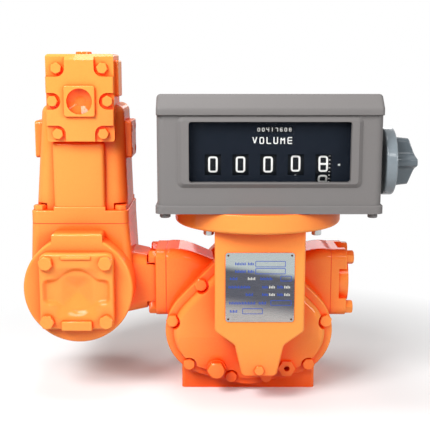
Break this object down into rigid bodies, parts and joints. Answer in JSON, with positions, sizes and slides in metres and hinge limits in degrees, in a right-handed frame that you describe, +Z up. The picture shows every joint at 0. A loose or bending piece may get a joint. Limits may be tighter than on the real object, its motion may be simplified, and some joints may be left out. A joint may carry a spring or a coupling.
{
  "type": "positive displacement flow meter",
  "caption": "Flow meter for liquids: cast rotor body on a foot, side strainer, air eliminator tower and a wheel counter with a reset knob on top.",
  "frame": {"origin": "middle of the foot's underside", "axes": "+X from the strainer side towards the outlet, +Y away from the reader of the counter, +Z up"},
  "size_m": [0.4308, 0.189, 0.386],
  "materials": {
    "orange_paint": "gloss",
    "grey_paint": "satin",
    "knob_grey": "satin",
    "window_glass": "clear",
    "face_black": "matt",
    "wheel_black": "matt",
    "plate_steel": "brushed",
    "zinc_steel": "zinc plated",
    "rotor_alloy": "machined",
    "gear_steel": "machined",
    "bush_bronze": "machined",
    "gasket_fibre": "matt",
    "stainless": "satin"
  },
  "bodies": {
    "frame": {"meter_housing": "orange_paint", "front_cover": "orange_paint", "rear_cover": "orange_paint", "cover_bolts": "orange_paint", "drain_plug": "orange_paint", "outlet_flange": "orange_paint", "port_bolts": "orange_paint", "dust_cover": "orange_paint", "dust_cover_screw": "orange_paint", "counter_adapter": "orange_paint", "strainer_housing": "orange_paint", "strainer_cover": "orange_paint", "strainer_cover_bolts": "orange_paint", "eliminator_body": "orange_paint", "eliminator_bolts": "orange_paint", "eliminator_head": "orange_paint", "head_bolts": "orange_paint", "head_plug": "orange_paint", "head_side_plate": "orange_paint", "tower_side_covers": "orange_paint", "side_cover_screws": "orange_paint", "counter_case": "grey_paint", "counter_lid": "grey_paint", "counter_screws": "grey_paint", "window_glass": "window_glass", "counter_face": "face_black", "nameplate": "plate_steel", "adapter_bolts": "zinc_steel", "counter_chassis": "zinc_steel", "front_bearing_plate": "rotor_alloy", "rear_bearing_plate": "rotor_alloy", "totalizer_shaft": "gear_steel", "rotor_bushes": "bush_bronze", "packing_gland": "bush_bronze", "vent_seat": "bush_bronze", "cover_gaskets": "gasket_fibre", "port_gaskets": "gasket_fibre", "strainer_cover_gasket": "gasket_fibre", "eliminator_gaskets": "gasket_fibre", "strainer_basket": "stainless", "float_rod": "stainless"},
    "blocking_rotor_set": {"blocking_rotor": "rotor_alloy", "blocking_timing_gear": "gear_steel", "rotor_drive_gear": "gear_steel"},
    "left_rotor_set": {"left_displacement_rotor": "rotor_alloy", "left_timing_gear": "gear_steel"},
    "right_rotor_set": {"right_displacement_rotor": "rotor_alloy", "right_timing_gear": "gear_steel"},
    "packing_shaft_set": {"packing_shaft": "gear_steel"},
    "drive_shaft_set": {"drive_shaft": "gear_steel"},
    "first_wheel": {"number_wheel_1": "wheel_black"},
    "second_wheel": {"number_wheel_2": "wheel_black"},
    "third_wheel": {"number_wheel_3": "wheel_black"},
    "fourth_wheel": {"number_wheel_4": "wheel_black"},
    "fifth_wheel": {"number_wheel_5": "wheel_black"},
    "totalizer_slow": {"totalizer_wheels": "wheel_black"},
    "totalizer_fast": {"totalizer_unit_wheel": "wheel_black"},
    "reset": {"reset_shaft": "gear_steel", "reset_knob": "knob_grey"},
    "float_body": {"float": "stainless"}
  },
  "joints": [
    {"name": "blocking_rotor_spin", "type": "hinge", "parent": "frame", "child": "blocking_rotor_set", "pos_m": [0, 0, 0.115], "axis": [0, 1, 0], "continuous": true},
    {"name": "left_rotor_spin", "type": "hinge", "parent": "frame", "child": "left_rotor_set", "pos_m": [-0.041, 0, 0.073], "axis": [0, 1, 0], "continuous": true},
    {"name": "right_rotor_spin", "type": "hinge", "parent": "frame", "child": "right_rotor_set", "pos_m": [0.041, 0, 0.073], "axis": [0, 1, 0], "continuous": true},
    {"name": "packing_shaft_spin", "type": "hinge", "parent": "frame", "child": "packing_shaft_set", "pos_m": [0.01, 0, 0.14115], "axis": [0, 1, 0], "continuous": true},
    {"name": "drive_shaft_spin", "type": "hinge", "parent": "frame", "child": "drive_shaft_set", "pos_m": [0.01, -0.079, 0.2], "axis": [0, 0, 1], "continuous": true},
    {"name": "first_wheel_spin", "type": "hinge", "parent": "frame", "child": "first_wheel", "pos_m": [0, -0.065, 0.268], "axis": [1, 0, 0], "continuous": true},
    {"name": "second_wheel_spin", "type": "hinge", "parent": "frame", "child": "second_wheel", "pos_m": [0, -0.065, 0.268], "axis": [1, 0, 0], "continuous": true},
    {"name": "third_wheel_spin", "type": "hinge", "parent": "frame", "child": "third_wheel", "pos_m": [0, -0.065, 0.268], "axis": [1, 0, 0], "continuous": true},
    {"name": "fourth_wheel_spin", "type": "hinge", "parent": "frame", "child": "fourth_wheel", "pos_m": [0, -0.065, 0.268], "axis": [1, 0, 0], "continuous": true},
    {"name": "fifth_wheel_spin", "type": "hinge", "parent": "frame", "child": "fifth_wheel", "pos_m": [0, -0.065, 0.268], "axis": [1, 0, 0], "continuous": true},
    {"name": "totalizer_slow_spin", "type": "hinge", "parent": "frame", "child": "totalizer_slow", "pos_m": [0, -0.0907, 0.3047], "axis": [1, 0, 0], "continuous": true},
    {"name": "totalizer_fast_spin", "type": "hinge", "parent": "frame", "child": "totalizer_fast", "pos_m": [0, -0.0907, 0.3047], "axis": [1, 0, 0], "continuous": true},
    {"name": "reset_turn", "type": "hinge", "parent": "frame", "child": "reset", "pos_m": [0, -0.065, 0.268], "axis": [1, 0, 0], "range_deg": [0, 360]},
    {"name": "float_lift", "type": "slide", "parent": "frame", "child": "float_body", "axis": [0, 0, 1], "range_m": [0, 0.042]}
  ],
  "couplings": [
    {"joint": "left_rotor_spin", "follows": "blocking_rotor_spin", "ratio": -1},
    {"joint": "right_rotor_spin", "follows": "blocking_rotor_spin", "ratio": -1},
    {"joint": "packing_shaft_spin", "follows": "blocking_rotor_spin", "ratio": -1},
    {"joint": "drive_shaft_spin", "follows": "blocking_rotor_spin", "ratio": 1},
    {"joint": "fifth_wheel_spin", "follows": "blocking_rotor_spin", "ratio": -0.1},
    {"joint": "fourth_wheel_spin", "follows": "blocking_rotor_spin", "ratio": -0.01},
    {"joint": "third_wheel_spin", "follows": "blocking_rotor_spin", "ratio": -0.001},
    {"joint": "second_wheel_spin", "follows": "blocking_rotor_spin", "ratio": -0.0001},
    {"joint": "first_wheel_spin", "follows": "blocking_rotor_spin", "ratio": -0.00001},
    {"joint": "totalizer_fast_spin", "follows": "blocking_rotor_spin", "ratio": -0.1},
    {"joint": "totalizer_slow_spin", "follows": "blocking_rotor_spin", "ratio": -0.01}
  ]
}
